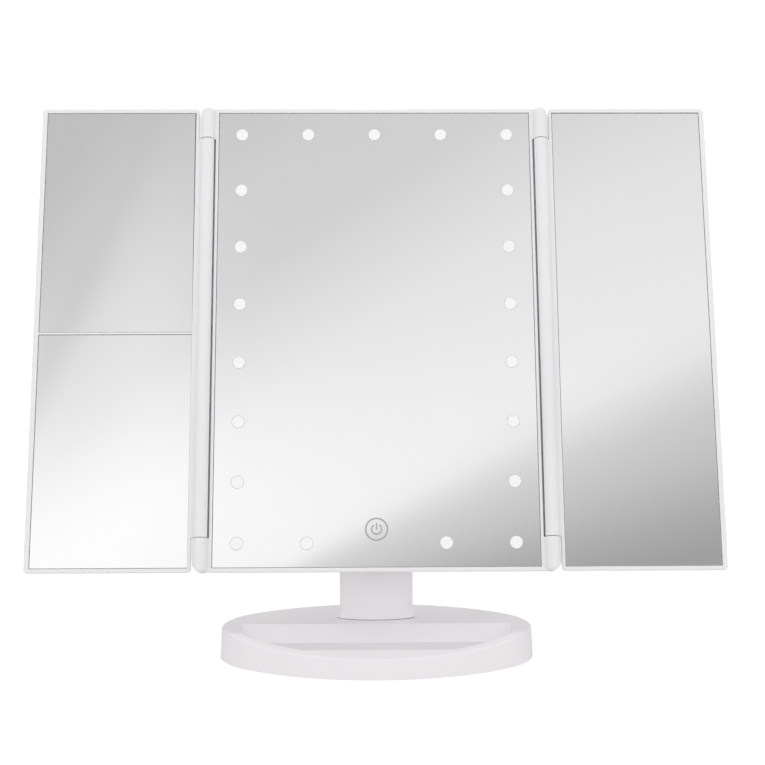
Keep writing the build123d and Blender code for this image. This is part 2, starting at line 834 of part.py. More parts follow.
def wing_pane(v, height):
    return slab(wing_glass_w, height, glass_front, glass_back, 0, wing_glass_u, v)


def wing_tape(split):
    return group([tape_ring(wing_glass_w, height, wing_glass_u, v) for v, height in wing_panes(split)])


# ---------------------------------------------------------------- base
def oval(half_w, half_d, side_r):
    """Outline of two side arcs and two flatter arcs, front and back, that meet smoothly."""
    side_x = half_w - side_r
    front_r = (side_x ** 2 + half_d ** 2 - side_r ** 2) / (2 * (half_d - side_r))
    step = side_r / (front_r - side_r)
    x = side_x * (1 + step)
    y = (front_r - half_d) * step
    outline = ThreePointArc((x, -y), (half_w, 0), (x, y)) + ThreePointArc((x, y), (0, half_d), (-x, y))
    outline += ThreePointArc((-x, y), (-half_w, 0), (-x, -y)) + ThreePointArc((-x, -y), (0, -half_d), (x, -y))
    return make_face(outline)


def base_taper(inset, bottom, top):
    """The oval base body between two heights, drawn in by an even inset."""
    def section(z):
        pull = inset + base_draft * z / base_h
        return Pos(0, 0, z) * oval(base_half_w - pull, base_half_d - pull, base_side_r - pull)
    return loft([section(bottom), section(top)])


def base_top():
    """Side view of everything under the top: level behind the crease, sloping in front of it."""
    far = base_half_d + over
    low = base_h - (far + crease_y) * tan(radians(front_slope))
    profile = Polyline((-far, 0), (far, 0), (far, base_h), (crease_y, base_h), (-far, low), close=True)
    return extrude(Plane.YZ * make_face(profile), amount=base_half_w + over, both=True)


def tray_space():
    """The dish: a curved outline over a floor that slopes down from its back edge."""
    back_half = base_half_w - tray_back_in
    side_half = base_half_w - tray_side_in
    curve_half = base_half_w - tray_curve_in
    front_half = base_half_w - tray_front_in
    curve_y = tray_curve_up - base_half_d
    front_y = tray_front_up - base_half_d
    left = Polyline((0, tray_back_y), (-back_half, tray_back_y), (-side_half, crease_y))
    left += ThreePointArc((-side_half, crease_y), (-curve_half, curve_y), (-front_half, front_y))
    left += Line((-front_half, front_y), (0, front_y))
    outline = make_face(left + mirror(left, about=Plane.YZ))
    prism = extrude(outline, amount=2 * base_h)
    profile = Polyline((tray_back_y, base_h), (tray_floor_y, tray_floor_z), (-base_half_d, tray_floor_z),
                       (-base_half_d, 2 * base_h), (tray_back_y, 2 * base_h), close=True)
    above = extrude(Plane.YZ * make_face(profile), amount=base_half_w, both=True)
    return prism & above


def base_screw_spots():
    """Just outside the pad, on an oval of the pad's shape."""
    x = (pad_half_w + base_screw_out) * cos(radians(base_screw_deg))
    y = (pad_half_d + base_screw_out) * sin(radians(base_screw_deg))
    return [(i * x, j * y) for i in (-1, 1) for j in (-1, 1)]


def neck_screw_spots():
    return [(i * neck_screw_x, neck_foot_y) for i in (-1, 1)]


def base_shell():
    body = base_taper(0, rim_lift, base_h) & base_top()
    rim = [e for e in body.edges() if e.center().Z > base_h / 2 and e.geom_type != GeomType.LINE]
    body = soften(body, rim, base_rim_r)
    body -= tray_space()
    body -= base_taper(base_wall, rim_lift, tray_under_z)
    back = base_taper(base_wall, tray_under_z, base_h - base_wall)
    keep = tray_back_y + base_wall
    body -= back & Pos(0, keep + base_half_d, base_h / 2) * Box(2 * base_half_w, 2 * base_half_d, 2 * base_h)
    for x, y in base_screw_spots():
        roof = tray_under_z if y < 0 else base_h - base_wall
        body += disc(base_boss_r, roof + over, cover_top, x, y)
        body -= disc(base_screw_r + thread_clear, cover_top + base_screw_grip + pilot_tip, cover_top, x, y)
    for x, y in neck_screw_spots():
        body -= disc(neck_screw_r + hole_clear, base_h, base_h - base_wall, x, y)
    return body


def base_bottom_cover():
    plate = base_taper(base_wall + cover_clear, rim_lift, cover_top)
    recess = extrude(Ellipse(pad_half_w + pad_fit, pad_half_d + pad_fit), amount=pad_t - rim_lift)
    plate -= Pos(0, 0, rim_lift) * recess
    for x, y in base_screw_spots():
        plate -= disc(base_screw_r + hole_clear, cover_top, rim_lift, x, y)
        plate -= disc(base_screw_head_r + head_clear, rim_lift + base_head_sink, rim_lift, x, y)
    return plate + both_sides(disc(ballast_peg_r, cover_top + ballast_t, cover_top, ballast_peg_x, 0))


def base_screws():
    seat = rim_lift + base_head_sink
    length = cover_t - base_head_sink + base_screw_grip
    return group([screw(x, y, seat, 1, base_screw_head_r, base_screw_head_t, base_screw_r, length)
                  for x, y in base_screw_spots()])


def ballast_plate():
    outline = Ellipse(pad_half_w - ballast_side_in, pad_half_d - ballast_end_in)
    plate = Pos(0, 0, cover_top) * extrude(outline, amount=ballast_t)
    hole = ballast_peg_r + ballast_peg_clear
    return plate - both_sides(disc(hole, cover_top + ballast_t, cover_top, ballast_peg_x, 0))


def non_slip_pad():
    return extrude(Ellipse(pad_half_w, pad_half_d), amount=pad_t)


# ---------------------------------------------------------------- neck
def neck_oval(z, grow):
    shift = (pivot_y - neck_foot_y) * (z - neck_foot_z) / neck_rise
    return Pos(0, neck_foot_y + shift, z) * Ellipse(neck_half_w + grow, neck_half_d + grow)


def neck():
    flare_top = neck_foot_z + foot_flare_h
    sections = []
    for i in range(foot_steps):
        t = i / (foot_steps - 1)
        sections.append(neck_oval(neck_foot_z + t * foot_flare_h, foot_flare * (1 - t) ** 2))
    body = loft(sections)
    body += loft([neck_oval(flare_top, 0), neck_oval(pivot_z, 0)])
    body += rod_x(neck_half_d, 2 * neck_half_w, 0, pivot_y, pivot_z)
    foot = [e for e in body.edges() if abs(e.center().Z - neck_foot_z) < near]
    body = chamfer(foot, foot_seam)
    hollow_top = pivot_z - neck_top_solid
    body -= loft([neck_oval(neck_foot_z, -neck_wall), neck_oval(hollow_top, -neck_wall)])
    for x, y in neck_screw_spots():
        body += disc(neck_boss_r, hollow_top + over, neck_foot_z, x, y)
        body -= disc(neck_screw_r + thread_clear, neck_foot_z + neck_screw_grip + pilot_tip,
                     neck_foot_z, x, y)
    return body - rod_x(bolt_r + running_fit, 2 * neck_half_w, 0, pivot_y, pivot_z)


def neck_screws():
    seat = base_h - base_wall
    length = base_wall + neck_screw_grip
    return group([screw(x, y, seat, 1, neck_screw_head_r, neck_screw_head_t, neck_screw_r, length)
                  for x, y in neck_screw_spots()])


# ---------------------------------------------------------------- write the nodes
def stand_nodes():
    return {
        "non_slip_pad": non_slip_pad(),
        "base_shell": base_shell(),
        "base_bottom_cover": base_bottom_cover(),
        "base_screws": base_screws(),
        "ballast_plate": ballast_plate(),
        "neck": neck(),
        "neck_screws": neck_screws(),
    }


def head_nodes():
    upper, lower = wing_panes(True)
    whole = wing_panes(False)[0]
    return {
        "center_frame": center_frame(),
        "center_mirror": center_mirror(),
        "center_mirror_tape": center_tape(),
        "led_windows": led_windows(),
        "touch_mark": touch_mark(),
        "touch_sensor": touch_sensor(),
        "led_board": led_board(),
        "led_chips": led_chips(),
        "led_board_screws": led_board_screws(),
        "rear_shell": rear_shell(),
        "rear_shell_screws": rear_shell_screws(),
        "battery_cells": battery_cells(),
        "battery_contacts": battery_contacts(),
        "battery_door": battery_door(),
        "control_board": control_board(),
        "control_chip": control_chip(),
        "control_board_screws": control_board_screws(),
        "switch_body": switch_body(),
        "power_switch_knob": power_switch_knob(),
        "charging_inlet": charging_inlet(),
        "hinge_pins": hinge_pins(),
        "tilt_bolt": tilt_bolt(),
        "tilt_nut": tilt_nut(),
        "pivot_washers": pivot_washers(),
        "ear_caps": ear_caps(),
        "right_wing_frame": wing_frame(False),
        "right_wing_back": wing_back(),
        "right_mirror": wing_pane(*whole),
        "right_mirror_tape": wing_tape(False),
        "left_wing_frame": flip(wing_frame(True)),
        "left_wing_back": flip(wing_back()),
        "left_upper_mirror": flip(wing_pane(*upper)),
        "left_lower_mirror": flip(wing_pane(*lower)),
        "left_mirror_tape": flip(wing_tape(True)),
    }


os.makedirs("parts", exist_ok=True)
for node, shape in stand_nodes().items():
    export_step(shape, f"parts/{node}.step")
for node, shape in head_nodes().items():
    export_step(HEAD * shape, f"parts/{node}.step")
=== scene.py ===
import json
from math import cos, pi, radians, sin

import bmesh
import bpy
from mathutils import Matrix, Vector


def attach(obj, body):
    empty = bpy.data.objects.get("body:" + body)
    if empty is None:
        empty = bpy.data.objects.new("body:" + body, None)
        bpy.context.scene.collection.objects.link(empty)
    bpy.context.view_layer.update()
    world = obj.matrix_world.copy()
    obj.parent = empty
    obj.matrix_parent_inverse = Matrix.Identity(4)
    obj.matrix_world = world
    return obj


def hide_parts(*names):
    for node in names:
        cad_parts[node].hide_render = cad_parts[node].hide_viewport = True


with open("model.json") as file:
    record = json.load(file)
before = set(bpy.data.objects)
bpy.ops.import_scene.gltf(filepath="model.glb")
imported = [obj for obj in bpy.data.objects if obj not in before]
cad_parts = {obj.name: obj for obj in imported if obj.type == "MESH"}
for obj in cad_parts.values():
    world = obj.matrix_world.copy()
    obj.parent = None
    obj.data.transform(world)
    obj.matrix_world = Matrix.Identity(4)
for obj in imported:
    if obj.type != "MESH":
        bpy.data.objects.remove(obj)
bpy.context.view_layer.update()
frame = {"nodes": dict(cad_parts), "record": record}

MM = 0.001


# ---------------------------------------------------------------- camera
CAMERA_PLACE = Vector((-7.795, -765.84, 171.24)) * MM
CAMERA_PITCH = radians(2.6363)      # downwards
CAMERA_YAW = radians(0.8265)        # towards +X
CAMERA_ROLL = radians(-0.1616)
CAMERA_LENS = 72.912                # goes with SENSOR across a square picture
SENSOR = 36.0
CLIP_START = 0.01


def make_camera():
    forward = Vector((sin(CAMERA_YAW) * cos(CAMERA_PITCH), cos(CAMERA_YAW) * cos(CAMERA_PITCH),
                      -sin(CAMERA_PITCH)))
    level = Vector((cos(CAMERA_YAW), -sin(CAMERA_YAW), 0))
    raised = level.cross(forward)
    right = level * cos(CAMERA_ROLL) + raised * sin(CAMERA_ROLL)
    up = raised * cos(CAMERA_ROLL) - level * sin(CAMERA_ROLL)
    data = bpy.data.cameras.new("camera")
    data.lens = CAMERA_LENS
    data.sensor_width = SENSOR
    data.clip_start = CLIP_START
    camera = bpy.data.objects.new("camera", data)
    turn = Matrix((right, up, -forward)).transposed().to_4x4()
    camera.matrix_world = Matrix.Translation(CAMERA_PLACE) @ turn
    bpy.context.scene.collection.objects.link(camera)
    bpy.context.scene.camera = camera


make_camera()


# ---------------------------------------------------------------- node helpers
class Graph:
    """A short way to write a node tree."""

    def __init__(self, tree):
        self.tree = tree
        tree.nodes.clear()

    def node(self, kind, inputs=None, **settings):
        made = self.tree.nodes.new(kind)
        for key, value in settings.items():
            setattr(made, key, value)
        for key, value in (inputs or {}).items():
            if isinstance(value, bpy.types.NodeSocket):
                self.tree.links.new(value, made.inputs[key])
            else:
                made.inputs[key].default_value = value
        return made

    def first(self, kind, inputs=None, **settings):
        """First output of a new node."""
        return self.node(kind, inputs, **settings).outputs[0]

    def math(self, kind, *values):
        return self.first("ShaderNodeMath", dict(enumerate(values)), operation=kind)

    def degrees(self, kind, *values):
        """What an arc function gives, in degrees."""
        return self.math("MULTIPLY", self.math(kind, *values), 180 / pi)

    def mix(self, share, start, end):
        """Number from start, at a share of 0, to end, at 1."""
        return self.first("ShaderNodeMix", {0: share, 2: start, 3: end}, data_type="FLOAT")

    def ramp(self, value, stops, smooth=True):
        """A colour ramp over 0..1 with grey levels or colours at the given places."""
        made = self.node("ShaderNodeValToRGB", {0: value})
        band = made.color_ramp
        band.interpolation = "EASE" if smooth else "LINEAR"
        while len(band.elements) < len(stops):
            band.elements.new(0.5)
        for element, (place, level) in zip(band.elements, stops):
            element.position = place
            level = level if isinstance(level, tuple) else (level, level, level)
            element.color = (*level, 1)
        return made.outputs[0]

    def span(self, value, low, high, to_low=0.0, to_high=1.0):
        """Value between low and high brought to the other range, and held at its ends."""
        return self.first("ShaderNodeMapRange", {0: value, 1: low, 2: high, 3: to_low, 4: to_high})

    def levels(self, value, stops):
        """Grey level at some value, straight between stops given as (value, level)."""
        low, high = stops[0][0], stops[-1][0]
        places = [((place - low) / (high - low), level) for place, level in stops]
        return self.ramp(self.span(value, low, high), places, smooth=False)

    def bell(self, value, middle, width):
        """1 at the middle, falling off to both sides."""
        off = self.math("DIVIDE", self.math("SUBTRACT", value, middle), width)
        return self.math("EXPONENT", self.math("MULTIPLY", self.math("MULTIPLY", off, off), -1.0))

    def noise(self, place, scale, detail):
        return self.first("ShaderNodeTexNoise", {"Vector": place, "Scale": scale, "Detail": detail})

    def bump(self, height, strength, depth, **more):
        return self.first("ShaderNodeBump", {"Height": height, "Strength": strength, "Distance": depth, **more})


# ---------------------------------------------------------------- studio: world, floor
# Light by direction, in degrees. rise is the height in front, in the plane of symmetry, side the angle to
# the right of that plane, turn the angle round from the front, and tilt the height above the horizon.
# What the panes mirror is a card in front. Its upper part falls off upwards, and its lower part below a
# slanting edge that is softer towards the right.
CARD_SIDE = 14.0                        # the card's pattern ends this far to each side and goes on evenly
UPPER_SLANT, UPPER_BEND = 0.703, -0.0157
UPPER_LEVELS = [(21.9, 0.839), (25.5, 0.810), (27.4, 0.793), (29.7, 0.768), (31.75, 0.717), (34.65, 0.642),
                (38.0, 0.631), (41.3, 0.582), (45.0, 0.527)]
LOWER_RISE, LOWER_SLANT, LOWER_BEND = 20.02, 0.181, 0.0041
LOWER_WIDTH, LOWER_SPREAD, LOWER_SPREAD_BEND = 2.517, 0.364, -0.0069
LOWER_WIDTH_MIN = 1.5
LOWER_LEVELS = [(-4.0, 0.66), (-1.2, 0.35), (-0.25, 0.347), (0.0, 0.416), (0.3, 0.522), (0.6, 0.600),
                (0.75, 0.662), (1.0, 0.787), (1.2, 0.826), (1.4, 0.848)]
CARD_BLEND = 0.05                       # how softly the two parts meet
# Soft patches on the card: rise and side of the middle, height, width, level, and slant.
PATCHES = [(24.44, -31.54, 5.96, 22.3, 0.62, 0.169),
           (53.92, -15.39, 1.59, 5.74, -0.106, 2.258),
           (34.96, -7.91, 6.10, 2.40, 0.08, 0.572)]
# For light on the plastic, the card fades out between these angles: sideways, downwards and upwards.
FADE_SIDE = (17.0, 30.0)
FADE_LOW = (12.0, 18.0)
FADE_HIGH = (44.0, 56.0)
# What else lights the plastic: levels at DOME_TILTS above the horizon, in front and then round to the rear,
# each row taking over from the one before it between two turns.
DOME_TILTS = (4.0, 26.0, 54.0)
DOME_FRONT = (1.66, 1.97, 0.53)
DOME_ROUND = [((22.0, 45.0), (0.99, 1.54, 0.55)),
              ((60.0, 85.0), (0.66, 1.01, 1.26)),
              ((110.0, 140.0), (0.55, 0.65, 0.91))]
REAR_SHINE = [(8.0, 0.1), (28.0, 0.9)]  # what gloss reflects from behind, by tilt
REAR_TURN = (75.0, 105.0)               # it takes over from the card between these turns
BACKDROP = 1.05                         # white behind the object, for the eye only


def card_light(g, rise, side):
    """Level of the card that the panes mirror."""
    side = g.span(side, -CARD_SIDE, CARD_SIDE, -CARD_SIDE, CARD_SIDE)
    square = g.math("MULTIPLY", side, side)

    def bent(value, slant, bend):
        return g.math("MULTIPLY_ADD", square, bend, g.math("MULTIPLY_ADD", side, slant, value))

    upper = g.levels(bent(rise, -UPPER_SLANT, -UPPER_BEND), UPPER_LEVELS)
    above = g.math("SUBTRACT", bent(rise, -LOWER_SLANT, -LOWER_BEND), LOWER_RISE)
    width = g.math("MAXIMUM", bent(LOWER_WIDTH, LOWER_SPREAD, LOWER_SPREAD_BEND), LOWER_WIDTH_MIN)
    lower = g.levels(g.math("DIVIDE", above, width), LOWER_LEVELS)
    card = g.math("SMOOTH_MIN", upper, lower, CARD_BLEND)
    for patch_rise, patch_side, tall, wide, level, slant in PATCHES:
        height = g.bell(g.math("MULTIPLY_ADD", side, -slant, rise), patch_rise, tall)
        patch = g.math("MULTIPLY", height, g.bell(side, patch_side, wide))
        card = g.math("MULTIPLY_ADD", patch, level, card)
    return card


def dome_light(g, turn, tilt):
    """Level of the light all round that the plastic gets."""
    dome = g.levels(tilt, list(zip(DOME_TILTS, DOME_FRONT)))
    for turns, row in DOME_ROUND:
        dome = g.mix(g.span(turn, *turns), dome, g.levels(tilt, list(zip(DOME_TILTS, row))))
    return dome


def make_world():
    world = bpy.data.worlds.new("studio")
    bpy.context.scene.world = world
    world.use_nodes = True
    g = Graph(world.node_tree)
    direction = g.node("ShaderNodeTexCoord").outputs["Generated"]
    x, y, z = g.node("ShaderNodeSeparateXYZ", {0: direction}).outputs
    front = g.math("MULTIPLY", y, -1.0)
    rise = g.degrees("ARCTAN2", z, front)
    side = g.degrees("ARCSINE", x)
    turn = g.degrees("ARCTAN2", g.math("ABSOLUTE", x), front)
    tilt = g.degrees("ARCSINE", z)
    card = card_light(g, rise, side)
    across = g.span(g.math("ABSOLUTE", side), *FADE_SIDE, 1.0, 0.0)
    low = g.span(rise, *FADE_LOW)
    high = g.span(rise, *FADE_HIGH, 1.0, 0.0)
    window = g.math("MULTIPLY", g.math("MULTIPLY", across, low), high)
    soft = g.mix(window, dome_light(g, turn, tilt), card)
    shine = g.mix(g.span(turn, *REAR_TURN), card, g.levels(tilt, REAR_SHINE))
    ray = g.node("ShaderNodeLightPath").outputs
    light = g.mix(ray["Is Glossy Ray"], soft, shine)
    shown = g.mix(ray["Is Camera Ray"], light, BACKDROP)
    background = g.first("ShaderNodeBackground", {"Color": shown, "Strength": 1.0})
    g.node("ShaderNodeOutputWorld", {0: background})


FLOOR_SIZE = 6.0
FLOOR_GREY = 0.5
FLOOR_ROUGHNESS = 0.9
FLOOR_SPECULAR = 0.2
FLOOR_GLOW = 0.23
WHITE = (1, 1, 1, 1)


def make_floor():
    """Pale seamless floor: white to the eye like the backdrop, and a soft light from below."""
    mesh = bpy.data.meshes.new("floor")
    half = FLOOR_SIZE / 2
    mesh.from_pydata([(-half, -half, 0), (half, -half, 0), (half, half, 0), (-half, half, 0)], [],
                     [(0, 1, 2, 3)])
    floor = bpy.data.objects.new("floor", mesh)
    bpy.context.scene.collection.objects.link(floor)
    material = bpy.data.materials.new("floor_white")
    material.use_nodes = True
    g = Graph(material.node_tree)
    lit = g.first("ShaderNodeBsdfPrincipled", {
        "Base Color": (FLOOR_GREY, FLOOR_GREY, FLOOR_GREY, 1), "Roughness": FLOOR_ROUGHNESS,
        "Specular IOR Level": FLOOR_SPECULAR, "Emission Color": WHITE, "Emission Strength": FLOOR_GLOW})
    white = g.first("ShaderNodeEmission", {"Color": WHITE, "Strength": BACKDROP})
    seen = g.node("ShaderNodeLightPath").outputs["Is Camera Ray"]
    both = g.first("ShaderNodeMixShader", {0: seen, 1: lit, 2: white})
    g.node("ShaderNodeOutputMaterial", {0: both})
    mesh.materials.append(material)


make_world()
make_floor()
bpy.context.scene.view_settings.view_transform = "Standard"


# ---------------------------------------------------------------- materials
# Noise has its scale per metre, and its levels lie round 0.5. Each pair of scale and detail is one noise.
CLOUD = (14.0, 4.0)                 # unevenness of plastic
CLOUD_COLOUR = (0.35, 0.65)         # noise levels that have the low and the high colour
CLOUD_GLOSS = (0.3, 0.7)            # noise levels that have the low and the high roughness
GLOSS_SPREAD = 0.04                 # roughness goes this far up and down
GRAIN_DETAIL = 2.0
GRAIN_DEPTH = 0.0002
FINE_DEPTH = 0.0001                 # for metal and frosted glass

SPECKLE = (900.0, 3.0)              # mottling of the frosted windows
SPECKLE_WHITE = [(0.35, 0.925), (0.6, 0.945)]
FROST = (4000.0, 1.0)               # their grain
FROST_BUMP = 0.08
FROST_ROUGHNESS = 0.55
# painted glow: the frosted windows give off a little light of their own
WINDOW_PAINTED_GLOW = 0.055

METAL_GRAIN = (400.0, 3.0)
METAL_LEVELS = (0.3, 0.7)           # noise levels that have the low and the high colour and roughness
METAL_GLOSS = (0.8, 1.25)           # low and high roughness, as shares of the metal's own
METAL_BUMP = 0.05
BRUSH_STRETCH = 30

DUST = (900.0, 2.0)                 # on the panes
SMEAR = (9.0, 5.0)
DUST_LEVELS = (0.15, 0.45)
DUST_ROUGHNESS = 0.012
SILVER = [(0.3, (0.975, 0.98, 0.98)), (0.7, (0.99, 0.99, 0.99))]

TRAY_FLOOR_BELOW = 12 * MM          # of level faces, only the tray's floor lies under this height
LEVEL_FACE = 0.996                  # upward part of the normal of a level face


def new_material(name):
    material = bpy.data.materials.new(name)
    material.use_nodes = True
    g = Graph(material.node_tree)
    place = g.node("ShaderNodeTexCoord").outputs["Object"]
    return material, g, place


def finish_material(g, inputs):
    """Principled shader with these inputs, as the material's surface."""
    g.node("ShaderNodeOutputMaterial", {0: g.first("ShaderNodeBsdfPrincipled", inputs)})


def painted_shade_share(g, place):
    """1 on the tray's floor, where shade is painted, 0 elsewhere."""
    height = g.node("ShaderNodeSeparateXYZ", {0: place}).outputs[2]
    normal = g.node("ShaderNodeNewGeometry").outputs["True Normal"]
    upward = g.node("ShaderNodeSeparateXYZ", {0: normal}).outputs[2]
    return g.math("MULTIPLY", g.math("LESS_THAN", height, TRAY_FLOOR_BELOW),
                  g.math("GREATER_THAN", upward, LEVEL_FACE))


def plastic(name, low, high, roughness, grain=1800.0, bump=0.02, soft_edge=0.0, tray=None):
    """Moulded plastic: faint cloudy colour, faint fine grain, uneven gloss, and edges softened over a radius
    if that is given. tray is how much of the colour is left on the floor of the tray, as painted shade for the
    recess."""
    material, g, place = new_material(name)
    cloud = g.noise(place, *CLOUD)
    colour = g.ramp(cloud, list(zip(CLOUD_COLOUR, (low, high))))
    # painted shade: the colour is darkened on the tray's floor, where the recess lies in shade
    if tray:
        tray_shade_factor = g.span(painted_shade_share(g, place), 0.0, 1.0, 1.0, tray)
        colour = g.node("ShaderNodeMix", {0: 1.0, 6: colour, 7: tray_shade_factor}, data_type="RGBA",
                        blend_type="MULTIPLY").outputs[2]
    gloss = g.span(cloud, *CLOUD_GLOSS, roughness - GLOSS_SPREAD, roughness + GLOSS_SPREAD)
    edge = {"Normal": g.first("ShaderNodeBevel", {"Radius": soft_edge})} if soft_edge else {}
    normal = g.bump(g.noise(place, grain, GRAIN_DETAIL), bump, GRAIN_DEPTH, **edge)
    finish_material(g, {"Base Color": colour, "Roughness": gloss, "Normal": normal})
    return material


def frosted_glass(name):
    """Sand-blasted spot, a little mottled, with a faint painted glow, though no lamp lies behind it."""
    material, g, place = new_material(name)
    colour = g.ramp(g.noise(place, *SPECKLE), SPECKLE_WHITE)
    normal = g.bump(g.noise(place, *FROST), FROST_BUMP, FINE_DEPTH)
    finish_material(g, {"Base Color": colour, "Roughness": FROST_ROUGHNESS, "Normal": normal,
                        "Emission Color": colour, "Emission Strength": WINDOW_PAINTED_GLOW})
    return material


def metal(name, low, high, roughness, brushed=0.0):
    material, g, place = new_material(name)
    stretched = g.first("ShaderNodeMapping", {0: place, 3: (1.0, 1.0 + BRUSH_STRETCH * brushed, 1.0)})
    noise = g.noise(stretched, *METAL_GRAIN)
    colour = g.ramp(noise, list(zip(METAL_LEVELS, (low, high))))
    gloss = g.span(noise, *METAL_LEVELS, *(roughness * share for share in METAL_GLOSS))
    normal = g.bump(noise, METAL_BUMP, FINE_DEPTH)
    finish_material(g, {"Base Color": colour, "Metallic": 1.0, "Roughness": gloss, "Normal": normal})
    return material


def mirror_glass(name):
    """Silvered glass with a trace of dust that only shows as a faint unevenness of the gloss."""
    material, g, place = new_material(name)
    dust = g.noise(place, *DUST)
    smear = g.noise(place, *SMEAR)
    gloss = g.span(g.math("MULTIPLY", dust, smear), *DUST_LEVELS, 0.0, DUST_ROUGHNESS)
    finish_material(g, {"Base Color": g.ramp(smear, SILVER), "Metallic": 1.0, "Roughness": gloss})
    return material


SOFT_EDGE = 0.3 * MM
HEAD_WHITE = plastic("head_white", (0.89, 0.885, 0.893), (0.907, 0.902, 0.91), 0.36, soft_edge=SOFT_EDGE)
# The stand's white gets painted shade on the tray's floor, darkened there to 0.875 of its colour.
STAND_WHITE = plastic("stand_white", (0.93, 0.90, 0.92), (0.945, 0.915, 0.935), 0.40, soft_edge=SOFT_EDGE,
                      tray=0.875)
MATERIALS = {
    "white_plastic": HEAD_WHITE,
    "mirror_glass": mirror_glass("mirror_glass"),
    "frosted_window": frosted_glass("frosted_window"),
    "print_gray": plastic("print_gray", 0.42, 0.47, 0.5),
    "sensor_foam": plastic("sensor_foam", 0.02, 0.04, 0.9, 900.0, 0.3),
    "tape": plastic("tape", 0.60, 0.66, 0.7),
    "steel": metal("steel", 0.50, 0.62, 0.3, 0.5),
    "circuit_board": plastic("circuit_board", 0.80, 0.86, 0.35),
    "led_package": plastic("led_package", (0.85, 0.78, 0.40), (0.93, 0.86, 0.5), 0.4),
    "battery_can": plastic("battery_can", 0.03, 0.05, 0.3),
    "contact_metal": metal("contact_metal", 0.70, 0.80, 0.2),
    "chip_black": plastic("chip_black", 0.015, 0.03, 0.5),
    "washer_nylon": plastic("washer_nylon", (0.70, 0.68, 0.62), (0.76, 0.74, 0.68), 0.5),
    "pad_rubber": plastic("pad_rubber", 0.02, 0.035, 0.85, 700.0, 0.4),
}
STAND_NODES = ("base_shell", "base_bottom_cover", "neck")


def dress_cad_nodes():
    for row in frame["record"]["subparts"]:
        node = frame["nodes"][row["node"]]
        material = STAND_WHITE if row["node"] in STAND_NODES else MATERIALS[row["material_slot"]]
        node.data.materials.clear()
        node.data.materials.append(material)


dress_cad_nodes()


# ---------------------------------------------------------------- the head's own directions
JOINTS = {joint["name"]: joint for joint in frame["record"]["behaviour"]["joints"]}
WELD = 1e-6                         # vertices nearer than this are one


def head_place():
    """Matrix from the head's own directions, across, up and out of the glass, to the world."""
    left, right = JOINTS["left_wing_fold"], JOINTS["right_wing_fold"]
    middle = (Vector(left["pos_m"]) + Vector(right["pos_m"])) / 2
    across = Vector((1, 0, 0))
    up = Vector(left["axis"])
    turn = Matrix((across, up, across.cross(up))).transposed().to_4x4()
    return Matrix.Translation(middle) @ turn


HEAD = head_place()


def islands(node):
    """Vertex places of each separate solid of a node, in the head's directions."""
    back = HEAD.inverted()
    work = bmesh.new()
    work.from_mesh(frame["nodes"][node].data)
    bmesh.ops.remove_doubles(work, verts=work.verts, dist=WELD)
    left = set(work.verts)
    found = []
    while left:
        stack = [left.pop()]
        island = []
        while stack:
            vertex = stack.pop()
            island.append(back @ vertex.co)
            for edge in vertex.link_edges:
                other = edge.other_vert(vertex)
                if other in left:
                    left.remove(other)
                    stack.append(other)
        found.append(island)
    work.free()
    return found


def corners(points):
    low = Vector([min(p[i] for p in points) for i in range(3)])
    high = Vector([max(p[i] for p in points) for i in range(3)])
    return low, high


def local_box(node):
    """Lowest and highest corner of a node, in the head's directions."""
    return corners([p for island in islands(node) for p in island])


# ---------------------------------------------------------------- piece helpers
CAP_STEPS = 8                       # of a line's round end
CORNER_COSINE = 0.5                 # faces that meet at a corner have normals further apart than this
BEVEL_SEGMENTS = 2


def add_piece(name, work, body, slot_name, *replaced, place=HEAD):
    """Flat-shaded piece from a bmesh drawn in the head's directions, or in those of another place."""
    mesh = bpy.data.meshes.new(name)
    work.transform(place)
    bmesh.ops.recalc_face_normals(work, faces=work.faces)
    work.to_mesh(mesh)
    work.free()
    piece = bpy.data.objects.new(name, mesh)
    bpy.context.scene.collection.objects.link(piece)
    mesh.materials.append(MATERIALS[slot_name])
    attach(piece, body)
    if replaced:
        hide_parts(*replaced)


def circle(middle, radius, steps):
    turns = [2 * pi * i / steps for i in range(steps)]
    return [Vector((middle[0] + radius * cos(t), middle[1] + radius * sin(t))) for t in turns]


def stroke(path, width):
    """Outline of a line of some width along a path, with round ends."""
    half = width / 2
    left, right = [], []
    for i, point in enumerate(path):
        along = (path[min(i + 1, len(path) - 1)] - path[max(i - 1, 0)]).normalized()
        side = Vector((-along.y, along.x)) * half
        left.append(point + side)
        right.append(point - side)

    def cap(middle, start):
        return [middle + Matrix.Rotation(-pi * i / CAP_STEPS, 2) @ start for i in range(1, CAP_STEPS)]

    end = cap(path[-1], left[-1] - path[-1])
    begin = cap(path[0], right[0] - path[0])
    return left + end + right[::-1] + begin


def plate(work, outlines, front, back, bevel=0.0):
    """Plate between outlines, the first round it and the rest holes, with a bevelled front rim if asked."""
    edges = []
    for outline in outlines:
        ring = [work.verts.new((p[0], p[1], back)) for p in outline]
        edges += [work.edges.new((ring[i - 1], ring[i])) for i in range(len(ring))]
    filled = bmesh.ops.triangle_fill(work, use_beauty=True, use_dissolve=False, edges=edges)
    faces = [f for f in filled["geom"] if isinstance(f, bmesh.types.BMFace)]
    raised = bmesh.ops.extrude_face_region(work, geom=faces)["geom"]
    lifted = [v for v in raised if isinstance(v, bmesh.types.BMVert)]
    bmesh.ops.translate(work, verts=lifted, vec=(0, 0, front - back))
    if bevel:
        rim = [e for e in raised if isinstance(e, bmesh.types.BMEdge) and len(e.link_faces) == 2
               and abs(e.link_faces[0].normal.dot(e.link_faces[1].normal)) < CORNER_COSINE]
        bmesh.ops.bevel(work, geom=rim, offset=bevel, segments=BEVEL_SEGMENTS, profile=0.5, affect="EDGES")


# ---------------------------------------------------------------- mirror panes
PANE_ARRIS = 0.15 * MM
HOLE_STEPS = 40
WINDOW_SLIT = 0.03 * MM             # round each light window
